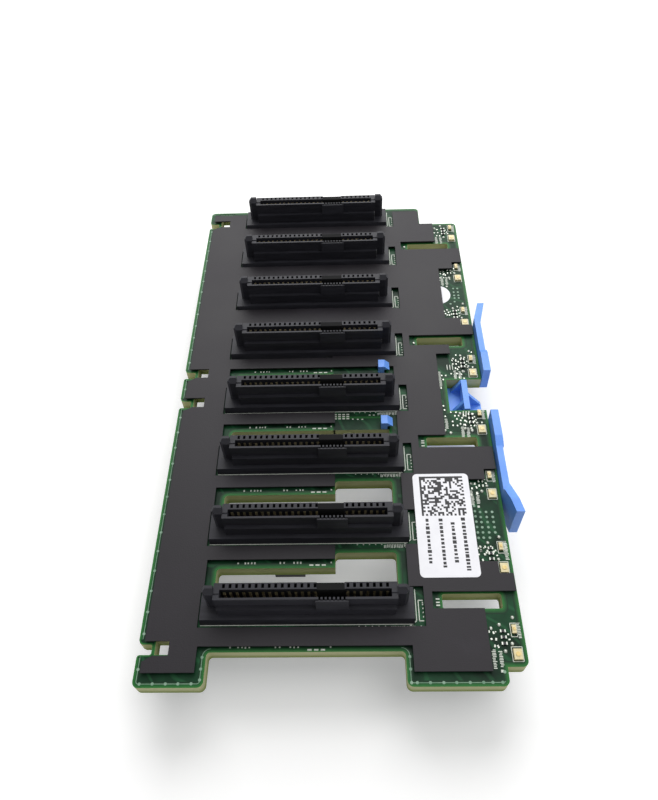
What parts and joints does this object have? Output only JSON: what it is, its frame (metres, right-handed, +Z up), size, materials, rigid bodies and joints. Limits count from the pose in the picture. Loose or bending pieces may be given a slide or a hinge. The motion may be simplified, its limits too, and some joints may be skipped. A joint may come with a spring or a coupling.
{
  "type": "drive backplane board",
  "caption": "Server drive backplane: thick green laminate with a column of upright black drive receptacles, black insulating film, edge lights and a blue clip-on edge bracket.",
  "frame": {"origin": "centre of the overall box in plan, at the height of the lowest faces, which the board rests on", "axes": "+Z up out of the receptacles, +Y along the board's length away from the tabbed end, +X towards the lights and the blue bracket"},
  "size_m": [0.0788, 0.1424, 0.0228],
  "materials": {
    "solder_mask": "gloss",
    "film": "satin",
    "receptacle_plastic": "satin",
    "contact_metal": "satin",
    "light_body": "satin",
    "ceramic_parts": "satin",
    "package_plastic": "matte",
    "label_paper": "matte",
    "bracket_plastic": "satin",
    "cage_metal": "satin"
  },
  "bodies": {
    "root": {"activity_leds": "light_body", "bulk_capacitors": "ceramic_parts", "cable_socket_lower_cage": "cage_metal", "cable_socket_lower_insert": "receptacle_plastic", "cable_socket_upper_cage": "cage_metal", "cable_socket_upper_insert": "receptacle_plastic", "chip_resistors": "package_plastic", "circuit_board": "solder_mask", "code_label": "label_paper", "controller_chip": "package_plastic", "decoupling_capacitors": "ceramic_parts", "drive_connector_1": "receptacle_plastic", "drive_connector_2": "receptacle_plastic", "drive_connector_3": "receptacle_plastic", "drive_connector_4": "receptacle_plastic", "drive_connector_5": "receptacle_plastic", "drive_connector_6": "receptacle_plastic", "drive_connector_7": "receptacle_plastic", "drive_connector_8": "receptacle_plastic", "edge_bracket": "bracket_plastic", "flash_chip": "package_plastic", "inductor": "package_plastic", "insulating_film": "film", "main_contacts_1": "contact_metal", "main_contacts_2": "contact_metal", "main_contacts_3": "contact_metal", "main_contacts_4": "contact_metal", "main_contacts_5": "contact_metal", "main_contacts_6": "contact_metal", "main_contacts_7": "contact_metal", "main_contacts_8": "contact_metal", "power_header": "receptacle_plastic", "power_header_pins": "contact_metal", "round_label": "label_paper", "secondary_contacts_1": "contact_metal", "secondary_contacts_2": "contact_metal", "secondary_contacts_3": "contact_metal", "secondary_contacts_4": "contact_metal", "secondary_contacts_5": "contact_metal", "secondary_contacts_6": "contact_metal", "secondary_contacts_7": "contact_metal", "secondary_contacts_8": "contact_metal", "signal_header": "receptacle_plastic", "signal_header_pins": "contact_metal", "status_leds": "light_body"}
  },
  "joints": []
}
